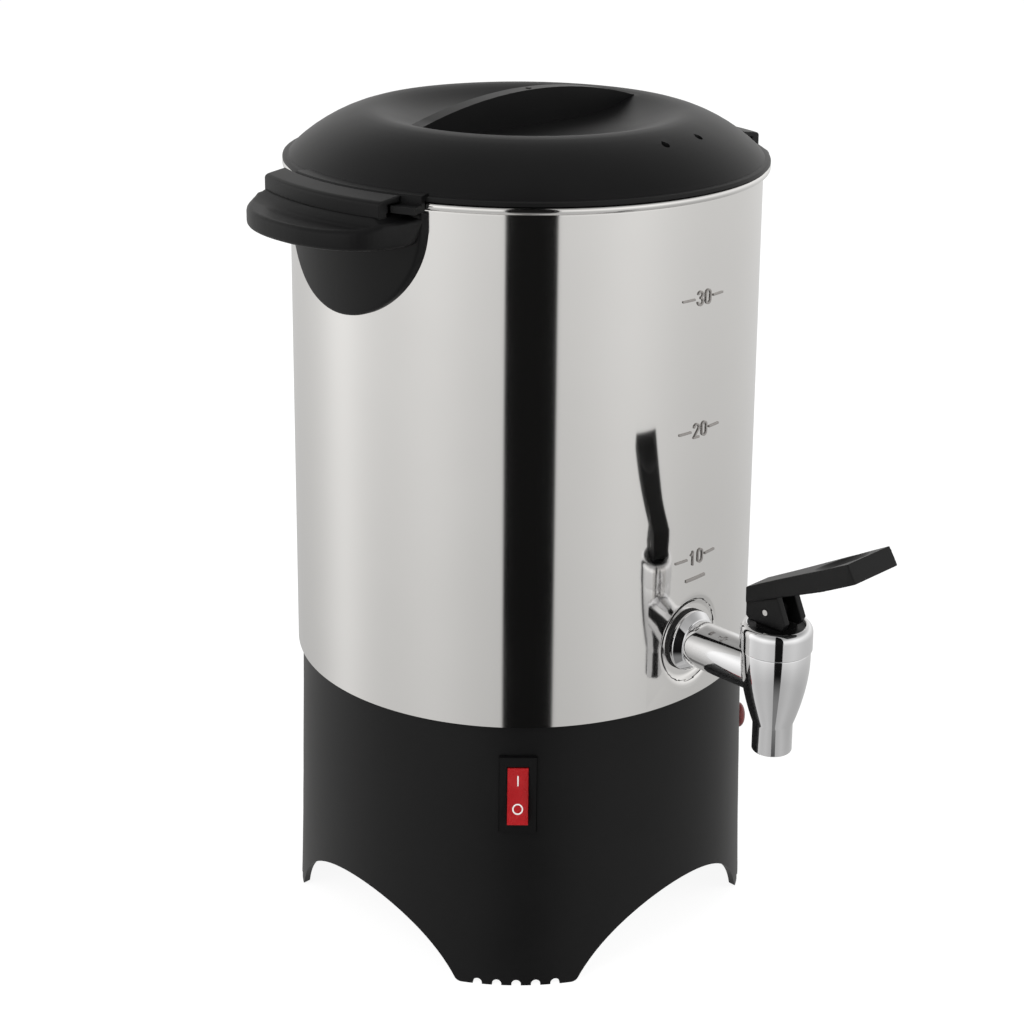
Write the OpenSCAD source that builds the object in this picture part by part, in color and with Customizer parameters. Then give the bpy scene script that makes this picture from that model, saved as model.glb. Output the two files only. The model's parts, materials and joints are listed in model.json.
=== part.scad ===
// Thirty-cup percolating coffee urn with a bayonet lid and a lever tap.
// Origin: centre of the circle of the feet, on the surface the urn stands on.
// +Z is up, the tap points to -Y, the two handles lie along X. Millimetres.

/* [Drum] */
// Outside radius of the steel drum
drum_r = 100; // [99.5:0.5:101]
// Thickness of the drum's sheet
sheet = 0.8; // [0.6:0.1:0.9]
// Height of the joint between the plastic base and the steel
joint_z = 117; // [116:0.5:118]
// Height of the top of the rolled rim
rim_z = 332; // [331.5:0.5:333]
// Radius of the tube that the rim is rolled into
bead_r = 1.7; // [1.5:0.1:1.8]
// Height of the top of the tank's floor
floor_z = 127; // [126.5:0.5:127.5]

/* [Base] */
// Outside radius of the base at its top
base_top_r = 97.9; // [97.4:0.1:98]
// Outside radius of the base at its feet
base_foot_r = 100.5; // [100:0.1:100.8]
// Wall thickness of the plastic base
base_wall = 2.8; // [2.5:0.1:3]
// Radius of the arches between the feet
arch_r = 56.3; // [55:0.1:57]
// Height of the top of the arches
arch_top_z = 33; // [31:0.5:34]
// Height of the bottom cover's underside
cover_z = 37; // [36:0.5:38]

/* [Lid] */
// Outside radius of the lid
lid_r = 103; // [102.5:0.1:103.2]
// Radius of the ring-shaped crest around the bowl
crest_r = 68; // [66:1:70]
// Height of the crest
crest_z = 352.4; // [351:0.1:354]
// Height of the middle of the bowl
bowl_z = 345.4; // [344.5:0.1:347]
// Height of the top of the grip bar across the bowl
bar_top_z = 360.5; // [358:0.5:364]
// Thickness of the lid's plastic wall
lid_wall = 2.6; // [2.2:0.1:3]
// Thickness of the grip bar
bar_t = 7; // [5:0.5:8]

/* [Handles] */
// Distance of the grip's outer edge from the drum's axis
grip_reach = 132.5; // [130:0.5:135]
// Half the width of the grip
grip_half = 40.7; // [39:0.1:42]
// Height of the grip's underside
grip_z = 315.2; // [314.5:0.1:316]
// Height of the ledge that the lid hook stands on
ledge_z = 325.6; // [325:0.1:326]
// Half the width of the plate against the drum
plate_half = 40.6; // [39:0.1:41]
// Lowest point of that plate
plate_low_z = 281.2; // [280:0.2:284]

/* [Tap] */
// Height of the tap's shank
tap_z = 142.2; // [141.8:0.1:142.6]
// Distance of the spout's axis from the drum's axis
spout_out = 144.2; // [143.7:0.1:144.7]
// Radius of the shank tube
shank_r = 9.6; // [9.4:0.1:9.8]
// Height of the spout's mouth
mouth_z = 110.1; // [108:0.1:113]
// Radius of the spout's mouth outside
mouth_r = 8.1; // [7.8:0.1:8.4]
// Height of the top of the screw collar
collar_top_z = 164.8; // [164.5:0.1:165]
// Radius of the screw collar
collar_r = 14.6; // [14.3:0.1:14.8]
// Width of the lever where the thumb presses
paddle_w = 27; // [24:1:28]

/* [Controls] */
// Direction of the switch, from the tap, seen from above
switch_az = -45; // [-50:1:-40]
// Height of the middle of the switch
switch_z = 86.8; // [84:0.2:90]
// Direction of the pilot lamp, from the tap
lamp_az = 45; // [40:1:50]
// Height of the middle of the pilot lamp
lamp_z = 72.8; // [70:0.1:76]
// Height of the middle of the mains inlet at the back
inlet_z = 66; // [60:1:75]

/* [Hidden] */
$fn = 96;

big = 300;
bore_gap = 0.05;                            // clearance of a pin or shaft in its hole

tank_in_r = drum_r - sheet;
floor_under = floor_z - 1;
well_r = 27;                                // inside of the heating well
well_z = 119.8;                             // top of the well's bottom
lid_low = rim_z + 0.15;
shoulder_z = lid_low + 1.7;
dome_r = lid_r - 2.4;                       // where the lid's dome meets its flat lip

stud_r = 2;
stud_ring = 84;
boss_low = 108;
cover_screw_ring = 84;

handle_azs = [-90, 90];
handle_screw_z = 318.5;
handle_screw_spread = 12;                   // degrees to each side of the handle's middle
hook_in_r = 107;
hook_out_r = 116.8;
hook_wall = 3.7;
hook_top = 334.6;
hook_half = 35.2;
hook_pin_r = 114.95;                        // distance of the hook's two pegs from the axis

chamber_r = 9.3;
seat_z = 128;
body_top = 158;
pin_z = 170.5;
pin_r = 1.2;
pin_out = 143.2;
cheek_half = 6.8;
cheek_t = 3.2;
heel = [152.1, 165.3];                      // the corner that the lever rolls on: out, up

black = [0.09, 0.09, 0.1];
steel = [0.78, 0.78, 0.76];
chrome = [0.86, 0.86, 0.88];
red = [0.75, 0.05, 0.06];
silicone = [0.82, 0.8, 0.76];
rubber = [0.13, 0.13, 0.13];
brass = [0.75, 0.6, 0.3];

// Outside radius of the base at height z, slightly waisted
function base_r(z) = base_foot_r - (base_foot_r - base_top_r) * pow(max(z, 0) / joint_z, 0.8);

// Height of the lid's outer surface at radius r: bowl, crest, then the falling shoulder
function lid_z(r) = r < crest_r
    ? bowl_z + (crest_z - bowl_z) * (1 - cos(180 * pow(r / crest_r, 2.8))) / 2
    : shoulder_z + (crest_z - shoulder_z) * pow(1 - pow((r - crest_r) / (dome_r - crest_r), 1.5), 0.84);

// Half of a superellipse, bulging to +X
function bulge(reach, half, power) = [for (a = [-90 : 7.5 : 90])
    [reach * pow(cos(a), 2 / power), half * sign(a) * pow(abs(sin(a)), 2 / power)]];

// Local z points away from the drum's axis, local y points up
module on_wall(az) { rotate([0, 0, az]) rotate([90, 0, 0]) children(); }

module ring(outer, inner, low, high) {
    translate([0, 0, low]) difference() {
        cylinder(h = high - low, r = outer);
        translate([0, 0, -1]) cylinder(h = high - low + 2, r = inner);
    }
}

module disc(radius, low, high) { translate([0, 0, low]) cylinder(h = high - low, r = radius); }

// A box given by its low and high corners
module block(low, high) { translate(low) cube(high - low); }

// A wire of straight runs with a small bead at each corner
module wire_run(points, radius) {
    for (i = [0 : len(points) - 2]) {
        step = points[i + 1] - points[i];
        length = norm(step);
        translate(points[i])
            rotate([0, acos(step.z / length), atan2(step.y, step.x)])
                cylinder(h = length, r = radius, $fn = 20);
        if (i > 0) translate(points[i]) sphere(r = radius * 1.15, $fn = 20);
    }
}

// ---------------------------------------------------------------- tank

dish_r = 19.5;                              // pressed flat around the tap's hole
dish_flat_r = 17.8;
dish_flat = 97.8;                           // its outer face, from the drum's axis
tap_hole_r = 8.1;

module dish_cut(grow) {
    flare = (dish_r - dish_flat_r) / (drum_r - dish_flat);
    translate([0, 0, dish_flat - grow]) cylinder(h = 3, r1 = dish_flat_r, r2 = dish_flat_r + 3 * flare);
}

module tank_wall() {
    color(steel) {
        difference() {
            rotate_extrude($fn = 180) {
                translate([tank_in_r, joint_z]) square([sheet, rim_z - bead_r - joint_z]);
                translate([drum_r + 1.35, rim_z - bead_r]) circle(r = bead_r, $fn = 32);
            }
            translate([0, 0, tap_z]) on_wall(0) dish_cut(0);
            translate([0, 0, tap_z]) on_wall(0) disc(tap_hole_r, drum_r - 10, drum_r + 5);
            for (side = handle_azs, turn = [-1, 1])
                translate([0, 0, handle_screw_z]) on_wall(side + turn * handle_screw_spread)
                    disc(2.2, drum_r - 4, drum_r + 3);
        }
        // the pressed flat and its flared edge
        intersection() {
            translate([0, 0, tap_z]) on_wall(0) difference() {
                dish_cut(sheet);
                dish_cut(0);
                disc(tap_hole_r, drum_r - 10, drum_r + 5);
            }
            disc(tank_in_r + 0.4, joint_z, rim_z);
        }
    }
}

// One figure, 3.6 wide and 6.4 tall, about its middle
module ring_2d(outer, inner) {
    difference() {
        circle(r = outer, $fn = 32);
        circle(r = inner, $fn = 32);
    }
}

module figure_0() {
    difference() {
        union() {
            for (y = [-1.4, 1.4]) translate([0, y]) circle(r = 1.8, $fn = 32);
            square([3.6, 2.8], center = true);
        }
        for (y = [-1.4, 1.4]) translate([0, y]) circle(r = 0.95, $fn = 32);
        square([1.9, 2.8], center = true);
    }
}

module figure_1() {
    translate([-0.2, -3.2]) square([0.85, 6.4]);
    translate([0.3, 2.9]) rotate(-140) square([2.2, 0.7]);
}

module figure_2() {
    difference() {
        translate([0, 1.4]) ring_2d(1.8, 0.95);
        polygon([[-3, 1.2], [0, 1.4], [1.4, 0.2], [1.4, -2], [-3, -2]]);
    }
    polygon([[1.7, 0.75], [-0.9, -2.6], [-1.8, -2.6], [1, 0.95]]);
    translate([-1.8, -3.2]) square([3.6, 0.85]);
}

module figure_3() {
    difference() {
        union() {
            translate([0, 1.5]) ring_2d(1.7, 0.85);
            translate([0, -1.35]) ring_2d(1.85, 1);
        }
        polygon([[-3, 1.6], [-0.2, 1.6], [-0.2, -1.2], [-3, -1.2]]);
    }
}

module level_dashes() {
    for (x = [-12.2, 5.4]) translate([x, -0.45]) square([6.8, 0.9]);
    translate([2.35, 0]) figure_0();
}

// Raised on the drum: how many cups it holds up to there, and a bar for the least fill
module level_marks() {
    color(steel) intersection() {
        on_wall(0) linear_extrude(120) {
            translate([1.2, 289.1]) level_dashes();
            translate([-1.15, 289.1]) figure_3();
            translate([1.2, 233.9]) level_dashes();
            translate([-1.15, 233.9]) figure_2();
            translate([1.2, 178.9]) level_dashes();
            translate([-1.15, 178.9]) figure_1();
            translate([-4.8, 169]) square([12, 1.2]);
        }
        ring(drum_r + 0.5, drum_r + 0.02, 150, 310);
    }
}

module tank_floor() {
    outer = tank_in_r - 0.05;
    color(steel) difference() {
        rotate_extrude() polygon([
            [0, well_z - 0.8], [well_r + 0.8, well_z - 0.8], [well_r + 0.8, floor_under],
            [outer - 0.8, floor_under], [outer - 0.8, joint_z + 1], [outer, joint_z + 1],
            [outer, floor_z], [well_r, floor_z], [well_r, well_z], [0, well_z]]);
        // the floor ends against the back of the pressed flat
        translate([0, 0, tap_z]) on_wall(0) disc(22.3, dish_flat - sheet - 0.05, 110);
    }
}

module floor_studs() {
    color(steel) for (a = [30, 150, 270]) rotate([0, 0, a])
        translate([stud_ring, 0, 0]) disc(stud_r, boss_low - 5, floor_under);
}

module stud_nuts() {
    color(steel) for (a = [30, 150, 270]) rotate([0, 0, a]) translate([stud_ring, 0, 0]) {
        ring(4.5, stud_r + bore_gap, boss_low - 0.8, boss_low);
        difference() {
            translate([0, 0, boss_low - 4]) cylinder(h = 3.2, r = 4.04, $fn = 6);
            disc(stud_r + bore_gap, 0, boss_low);
        }
    }
}

// ---------------------------------------------------------------- base

foot_round = 3;                             // rounding of the feet's lower corners
notch_r = 2;
notch_gap = 8.15;
cover_screw_r = 1.75;

module arch() {
    centre_z = arch_top_z - arch_r;
    fillet_x = sqrt(pow(arch_r + foot_round, 2) - pow(foot_round - centre_z, 2));
    translate([0, centre_z]) circle(r = arch_r, $fn = 180);
    for (side = [-1, 1]) difference() {
        polygon([[side * (fillet_x - 9), -2], [side * fillet_x, -2], [side * fillet_x, foot_round],
            [side * (fillet_x - foot_round * fillet_x / (arch_r + foot_round)),
             foot_round - foot_round * (foot_round - centre_z) / (arch_r + foot_round)]]);
        translate([side * fillet_x, foot_round]) circle(r = foot_round, $fn = 48);
    }
}

module base_shell() {
    heights = [0, 20, 40, 60, 80, 100, joint_z];
    color(black) difference() {
        union() {
            rotate_extrude($fn = 180) polygon(concat(
                [for (z = heights) [base_r(z), z]],
                [[base_top_r - 0.2, joint_z], [base_top_r - 0.2, floor_under - 0.1],
                 [base_top_r - base_wall, floor_under - 0.1]],
                [for (i = [len(heights) - 1 : -1 : 0]) [base_r(heights[i]) - base_wall, heights[i]]]));
            // bosses for the tank's studs, each on a rib from the wall
            for (a = [30, 150, 270]) rotate([0, 0, a]) {
                translate([stud_ring, 0, 0]) disc(5.5, boss_low, floor_under - 0.1);
                block([stud_ring, -1.5, boss_low], [base_r(boss_low) - 1.5, 1.5, floor_under - 0.5]);
            }
            for (a = [45 : 90 : 315]) rotate([0, 0, a]) {
                // bosses for the cover's screws
                translate([cover_screw_ring, 0, 0]) disc(4.5, cover_z + 3, cover_z + 19);
                block([cover_screw_ring, -1.3, cover_z + 3], [base_r(50) - 1.5, 1.3, cover_z + 19]);
            }
        }
        for (a = [0, 90]) rotate([90, 0, a]) translate([0, 0, -big / 2])
            linear_extrude(big) arch();
        for (a = [0 : 90 : 270]) {
            arc = notch_gap / base_foot_r * 180 / PI;
            for (i = [-2 : 2]) translate([0, 0, 0.5]) on_wall(a + 45 + i * arc)
                disc(notch_r, base_foot_r - 12, base_foot_r + 4);
        }
        for (a = [45 : 90 : 315]) rotate([0, 0, a]) translate([cover_screw_ring, 0, 0])
            disc(cover_screw_r + bore_gap, cover_z + 2, cover_z + 16);
        for (a = [30, 150, 270]) rotate([0, 0, a]) translate([stud_ring, 0, 0])
            disc(stud_r + 0.2, boss_low - 1, floor_z);
        // room for the back of the pressed flat
        translate([0, 0, tap_z]) on_wall(0) disc(21, dish_flat - sheet - 0.1, 110);
        translate([0, 0, switch_z]) on_wall(switch_az) {
            block([-7.75, -16.9, 97.6], [7.75, 16.9, 110]);
            block([-6.6, -15.2, 80], [6.6, 15.2, 110]);
        }
        translate([0, 0, lamp_z]) on_wall(lamp_az) {
            disc(6, 98.1, 110);
            disc(4.15, 80, 110);
        }
        translate([0, 0, inlet_z]) on_wall(180) {
            block([-15.7, -12.2, 97.1], [15.7, 12.2, 110]);
            block([-13.6, -10.1, 80], [13.6, 10.1, 110]);
        }
    }
}

module bottom_cover() {
    color(black) difference() {
        disc(base_r(cover_z) - base_wall - 0.4, cover_z, cover_z + 3);
        for (a = [45 : 90 : 315]) rotate([0, 0, a]) translate([cover_screw_ring, 0, 0])
            disc(cover_screw_r + 0.25, 0, cover_z + 5);
        for (a = [0 : 30 : 330]) rotate([0, 0, a])
            block([28, -2.5, 0], [58, 2.5, cover_z + 5]);
    }
}

module cover_screws() {
    color(steel) for (a = [45 : 90 : 315]) rotate([0, 0, a]) translate([cover_screw_ring, 0, 0]) {
        disc(3.4, cover_z - 2.2, cover_z);
        disc(cover_screw_r, cover_z - 0.5, cover_z + 15);
    }
}

// ---------------------------------------------------------------- heater and wiring

element_ring = 40;
element_r = 3.6;
element_z = 119.2;

module heater_plate() { color([0.7, 0.7, 0.72]) ring(52, well_r + 1.2, 122.9, floor_under - 0.05); }

module heating_element() {
    color([0.45, 0.42, 0.4]) {
        translate([0, 0, element_z]) rotate([0, 0, 110]) rotate_extrude(angle = 320)
            translate([element_ring, 0]) circle(r = element_r, $fn = 32);
        for (a = [110, 70]) rotate([0, 0, a]) translate([element_ring, 0, 0])
            disc(1.6, element_z - 15, element_z - 1);
    }
}

module disc_thermostat() {
    color([0.85, 0.82, 0.74]) disc(8.5, 117.5, 122.5);
    color(steel) {
        disc(7.5, 122.5, floor_under - 0.05);
        for (side = [-1, 1])
            block([side * 4 - 1.6, -0.4, 108], [side * 4 + 1.6, 0.4, 117.5]);
    }
}

module boil_thermostat() { rotate([0, 0, 200]) translate([66, 0, 0]) disc_thermostat(); }

module warm_thermostat() { rotate([0, 0, 340]) translate([66, 0, 0]) disc_thermostat(); }

module thermal_fuse() {
    color(brass) rotate([0, 0, 120]) translate([62, 0, floor_under - 2.25]) rotate([90, 0, 0])
        translate([0, 0, -5.5]) cylinder(h = 11, r = 2.2, $fn = 32);
}

block_xs = [-10, 0, 10];                    // the terminal block's three poles
block_ys = [24.5, 33.5];

module terminal_block() {
    color([0.9, 0.88, 0.82]) difference() {
        block([-16, 20, cover_z + 3], [16, 38, cover_z + 15]);
        for (x = block_xs, y = block_ys) translate([x, y, 0]) disc(2, cover_z + 6, cover_z + 16);
    }
}

// Inlet to terminal block, block to switch, switch to thermostat, thermostat to heater
module live_wire() {
    color([0.45, 0.25, 0.12]) {
        wire_run([[7, 71.9, 63.5], [7, 60, 63.5], [10, 33.5, 58], [10, 33.5, 46]], 1.3);
        wire_run([[10, 24.5, 46], [10, 24.5, 60], [10, -20, 62], [-44, -44, 76],
            [-50.1, -50.1, 78.4]], 1.3);
        wire_run([[-50.1, -50.1, 96.4], [-44, -44, 96.4], [-50, -28, 99], [-58.3, -21.2, 104],
            [-58.3, -21.2, 107.9]], 1.3);
        wire_run([[-65.8, -23.9, 107.9], [-65.8, -23.9, 101], [-40, 10, 98], [-13.7, 37.6, 97],
            [-13.7, 37.6, 104.1]], 1.3);
    }
}

module neutral_wire() {
    color([0.15, 0.3, 0.65]) {
        wire_run([[-7, 71.9, 63.5], [-7, 60, 63.5], [-10, 33.5, 58], [-10, 33.5, 46]], 1.3);
        wire_run([[-10, 24.5, 46], [-10, 24.5, 66], [13.7, 37.6, 90], [13.7, 37.6, 104.1]], 1.3);
    }
}

module earth_wire() {
    color([0.35, 0.6, 0.15]) {
        wire_run([[0, 71.9, 68.5], [0, 62, 68.5], [0, 33.5, 60], [0, 33.5, 46]], 1.3);
        wire_run([[0, 24.5, 46], [0, 24.5, 58], [44, 10, 90], [58, 6, 112], [58, 6, 125.9]], 1.3);
    }
}

// The lamp lights when the warming thermostat lets current past it
module lamp_wires() {
    color([0.9, 0.9, 0.88]) {
        wire_run([[58, -60.6, lamp_z], [52, -54, lamp_z + 0.5], [52, -26, 98], [58.3, -21.2, 103],
            [58.3, -21.2, 107.9]], 0.8);
        wire_run([[60.6, -58, lamp_z], [58, -48, lamp_z + 1.5], [65.8, -26, 99], [65.8, -23.9, 103],
            [65.8, -23.9, 107.9]], 0.8);
    }
}

module inlet_housing() {
    color(black) translate([0, 0, inlet_z]) on_wall(180) difference() {
        union() {
            block([-15.5, -12, 97.15], [15.5, 12, 99.4]);
            block([-13.4, -9.9, 80], [13.4, 9.9, 97.2]);
        }
        difference() {
            block([-12, -8.2, 82.5], [12, 8.2, 105]);
            for (side = [-1, 1]) translate([side * 12, -8.2, 82]) rotate([0, 0, 45])
                cube([5, 5, 40], center = true);
        }
        for (x = [-7, 0, 7]) block([x - 1, x == 0 ? 0.5 : -4.5, 70], [x + 1, x == 0 ? 4.5 : -0.5, 84]);
    }
}

module inlet_pins() {
    color(brass) translate([0, 0, inlet_z]) on_wall(180) for (x = [-7, 0, 7]) {
        low = x == 0 ? 0.55 : -4.45;
        block([x - 0.95, low, 72], [x + 0.95, low + 3.9, 93]);
    }
}

// ---------------------------------------------------------------- switch and lamp

rocker_pivot = 98.2;                        // distance of the rocker's pivot from the axis
rocker_half = 11.7;
rocker_tilt = 10;
pivot_r = 1;

module switch_housing() {
    color(black) translate([0, 0, switch_z]) on_wall(switch_az) difference() {
        union() {
            block([-7.55, -16.7, 97.65], [7.55, 16.7, 99.7]);
            block([-6.4, -15, 80], [6.4, 15, 97.7]);
        }
        block([-4.5, -12.7, 81.5], [4.5, 12.7, 105]);
        translate([0, 0, rocker_pivot]) rotate([0, 90, 0])
            translate([0, 0, -5.6]) cylinder(h = 11.2, r = pivot_r + bore_gap, $fn = 32);
    }
}

module switch_terminals() {
    color(brass) translate([0, 0, switch_z]) on_wall(switch_az)
        for (y = [-9, 0, 9]) block([-2.4, y - 0.4, 71], [2.4, y + 0.4, 79.95]);
}

// Two sloping faces over a round-ended body, so that it swings within the frame
module rocker_side() {
    intersection() {
        circle(r = 12.3);
        polygon([[-rocker_half, 3.8], [0, 2.4], [rocker_half, 3.8], [rocker_half, -3],
            [6, -9], [-6, -9], [-rocker_half, -3]]);
    }
}

module switch_rocker() {
    color(red) translate([0, 0, switch_z]) on_wall(switch_az)
        translate([0, 0, rocker_pivot]) rotate([-rocker_tilt, 0, 0]) {
            rotate([90, 0, 90]) translate([0, 0, -4.25]) linear_extrude(8.5) rocker_side();
            rotate([0, 90, 0]) translate([0, 0, -5.4]) cylinder(h = 10.8, r = pivot_r, $fn = 32);
        }
}

module lamp_lens() {
    color(red) translate([0, 0, lamp_z]) on_wall(lamp_az) {
        rotate_extrude($fn = 48) polygon(concat([[0, 98.15], [5.5, 98.15]],
            [for (a = [0 : 15 : 90]) [5.5 * cos(a), 98.9 + 2.8 * sin(a)]]));
        disc(4, 84, 98.2);
    }
}

module lamp_nut() {
    color(black) translate([0, 0, lamp_z]) on_wall(lamp_az) ring(7, 4 + bore_gap, 91.7, 95.2);
}

// ---------------------------------------------------------------- handles and lid hooks

// Outline of the plate against the drum: a half round below, straight above
module plate_side(inset) {
    rotate([90, 0, 90]) linear_extrude(120) intersection() {
        union() {
            translate([0, plate_low_z + plate_half]) circle(r = plate_half - inset);
            translate([inset - plate_half, plate_low_z + plate_half])
                square([2 * (plate_half - inset), 60]);
        }
        translate([-60, 200]) square([120, ledge_z - 200]);
    }
}

// Outline of the grip from above: widest at grip_mid, drawn in a little towards the plate
module grip_plan(inset, tail) {
    grip_mid = 103;
    front = bulge(grip_reach - inset - grip_mid, grip_half - inset, 2.2);
    rear = bulge(tail, grip_half - inset, 2.2);
    polygon(concat([for (p = front) [grip_mid + p.x, p.y]],
        [for (i = [1 : len(rear) - 2]) [grip_mid - rear[i].x, -rear[i].y]]));
}

// The handle towards +X
module handle() {
    color(black) difference() {
        union() {
            intersection() {
                plate_side(0);
                ring(102.5, drum_r + 0.1, plate_low_z - 1, ledge_z);
            }
            intersection() {
                plate_side(2.2);
                ring(103.4, drum_r + 0.1, plate_low_z - 1, ledge_z);
            }
            // grip: its upper side rises to the ledge under the hook
            intersection() {
                union() {
                    translate([0, 0, grip_z + 1.3]) linear_extrude(5) grip_plan(0, 40);
                    translate([0, 0, grip_z + 0.4]) linear_extrude(6.8) grip_plan(0.8, 20);
                    translate([0, 0, grip_z]) linear_extrude(20) grip_plan(2, 14);
                }
                rotate_extrude($fn = 180) polygon([[drum_r + 0.1, 300], [140, 300], [140, 323],
                    [129, 323.1], [123, 323.8], [120.3, 324.7], [118.6, 325.8], [117.7, 327.2],
                    [hook_out_r + 0.1, 327.4], [hook_out_r + 0.1, ledge_z], [drum_r + 0.1, ledge_z]]);
            }
        }
        // hollow for the fingers, from below
        intersection() {
            translate([0, 0, grip_z - 1]) linear_extrude(6) grip_plan(3.8, 14);
            ring(140, 113.5, grip_z - 2, grip_z + 10);
        }
        for (turn = [-1, 1]) {
            translate([0, 0, handle_screw_z]) rotate([0, 0, turn * handle_screw_spread])
                rotate([0, 90, 0]) disc(2 + bore_gap, 90, 110);
            rotate([0, 0, turn * 10]) translate([hook_pin_r, 0, 0]) disc(1.4 + bore_gap, 321, 330);
        }
    }
}

module lid_hook() {
    color(black) {
        intersection() {
            block([60, -hook_half, 320], [130, hook_half, 340]);
            union() {
                rotate_extrude($fn = 180) polygon([
                    [hook_out_r - hook_wall, ledge_z + 0.05], [hook_out_r, ledge_z + 0.05],
                    [hook_out_r, hook_top - 2.4], [hook_out_r - 0.5, hook_top - 1.7],
                    [hook_out_r - 1.6, hook_top - 1.2], [hook_in_r, hook_top], [hook_in_r, hook_top - 2.8],
                    [hook_out_r - hook_wall, hook_top - 2.9]]);
                ring(hook_out_r - hook_wall + 0.2, hook_out_r - hook_wall - 0.7, 328.5, 331.1);
            }
        }
        for (turn = [-10, 10]) rotate([0, 0, turn]) translate([hook_pin_r, 0, 0])
            disc(1.4, 321.5, ledge_z + 0.2);
    }
}

module handle_left() { rotate([0, 0, 180]) handle(); }
module handle_right() { handle(); }
module lid_hook_left() { rotate([0, 0, 180]) lid_hook(); }
module lid_hook_right() { lid_hook(); }

module at_handle_screws() {
    for (side = handle_azs, turn = [-1, 1]) translate([0, 0, handle_screw_z])
        on_wall(side + turn * handle_screw_spread) children();
}

module handle_screws() {
    color(steel) at_handle_screws() {
        disc(3.8, 94.7, 97);
        disc(2, 96.5, 109.5);
    }
}

module handle_washers() { color(silicone) at_handle_screws() ring(4.5, 2 + bore_gap, 97, 98.9); }

// ---------------------------------------------------------------- tap

module at_shank() { translate([0, 0, tap_z]) on_wall(0) children(); }
module at_spout() { translate([0, -spout_out, 0]) children(); }

// Outline of the cast body: straight under the collar, curving in to the spout
function body_side() = concat([[12.1, body_top], [12.1, 154.1], [13.5, 154.1], [14, 153.6]],
    [for (t = [0 : 0.125 : 1]) [14 - (14 - mouth_r) * pow(t, 1.78), 150.1 - 28.4 * t]],
    [[mouth_r, mouth_z + 0.6], [mouth_r - 0.5, mouth_z]]);

module tap_body() {
    color(chrome) difference() {
        at_spout() difference() {
            rotate_extrude() polygon(concat([[0, body_top]], body_side(), [[0, mouth_z]]));
            disc(5.8, mouth_z - 1, seat_z + 1);
            translate([0, 0, seat_z]) cylinder(h = 6, r1 = 7.8, r2 = chamber_r);
            disc(chamber_r, seat_z + 6, body_top + 1);
        }
        at_shank() disc(shank_r + bore_gap, 120, spout_out - 4);
    }
}

module tap_shank() {
    color(chrome) difference() {
        at_shank() difference() {
            union() {
                disc(7.9, 79, 110);
                disc(shank_r, 103.85, spout_out - 4.1);
            }
            disc(5.5, 70, spout_out);
        }
        at_spout() disc(chamber_r + 0.05, 120, 160);
    }
}

module tap_flange() {
    color(chrome) at_shank() difference() {
        rotate_extrude() polygon([[0, 99.05], [12.6, 99.05], [12.6, 100.6], [12.2, 101], [9.9, 103.8],
            [0, 103.8]]);
        disc(7.9 + bore_gap, 90, 110);
    }
}

module tap_seal_outer() { color(rubber) at_shank() ring(12.8, 7.9 + bore_gap, dish_flat + 0.05, 99); }

module tap_seal_inner() {
    color(rubber) at_shank() ring(13, 7.9 + bore_gap, 94.85, dish_flat - sheet - 0.05);
}

module tap_nut() {
    color(chrome) at_shank() difference() {
        translate([0, 0, 88.65]) cylinder(h = 6.15, r = 13.86, $fn = 6);
        disc(7.9 + bore_gap, 80, 100);
    }
}

module tap_collar() {
    low = 154.2;
    color(chrome) at_spout() rotate_extrude() polygon(concat(
        [[12.15, low], [collar_r - 0.4, low], [collar_r, low + 0.4]],
        [for (a = [0 : 15 : 90]) [collar_r - 2.5 + 2.5 * cos(a), collar_top_z - 3.4 + 3.4 * sin(a)]],
        [[11.6, collar_top_z - 0.9], [11.6, 161.5], [12.15, 161.5]]));
}

module tap_bonnet() {
    color(black) at_spout() difference() {
        union() {
            disc(9.2, 152, body_top + 0.1);
            disc(12.1, body_top + 0.05, 161.4);
            disc(11.5, 161.4, 163.3);
            disc(8.2, 163.2, 164.85);
        }
        disc(3.2 + bore_gap, 140, 170);
    }
}

module valve_stem() {
    color([0.2, 0.2, 0.21]) difference() {
        union() {
            at_spout() {
                disc(3.2, 133, 166.5);
                disc(6.5, 133, 134.2);
            }
            translate([0, -pin_out, 0]) {
                translate([-2.8, 0, pin_z]) rotate([0, 90, 0]) cylinder(h = 5.6, r = 4);
                block([-2.8, -4, 165], [2.8, 4, pin_z]);
            }
        }
        translate([-10, -pin_out, pin_z]) rotate([0, 90, 0]) cylinder(h = 20, r = pin_r + bore_gap, $fn = 48);
    }
}

module valve_cup() { color(silicone) at_spout() disc(6.9, seat_z + 0.05, 132.95); }

// Wire of the spring, swept along its coil with six sides
module valve_spring() {
    coil_r = 5.6;
    wire_r = 0.5;
    low = 134.8;
    high = 151.4;
    turns = 6;
    steps = 12;
    sides = 6;
    count = turns * steps;
    points = [for (i = [0 : count], k = [0 : sides - 1])
        let (a = 360 * i / steps, b = 360 * k / sides, r = coil_r + wire_r * cos(b))
        [r * cos(a), r * sin(a), low + (high - low) * i / count + wire_r * sin(b)]];
    skin = [for (i = [0 : count - 1], k = [0 : sides - 1])
        let (n = (k + 1) % sides)
        [i * sides + k, (i + 1) * sides + k, (i + 1) * sides + n, i * sides + n]];
    color(steel) at_spout() polyhedron(points = points, faces = concat(skin,
        [[for (k = [0 : sides - 1]) k], [for (k = [sides - 1 : -1 : 0]) count * sides + k]]));
}

module lever_pin() {
    color(chrome) translate([-6.6, -pin_out, pin_z]) rotate([0, 90, 0])
        cylinder(h = 13.2, r = pin_r, $fn = 48);
}

// Side view of the lever, in the plane through the drum's axis: out, up
module lever_side() {
    polygon([[133.6, 166.6], [136, 165.05], heel, [153.5, 168.3], [148.9, 178.7], [173.9, 190.4],
        [190.8, 199.3], [186.6, 206.1], [133.4, 178.6]]);
}

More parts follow.
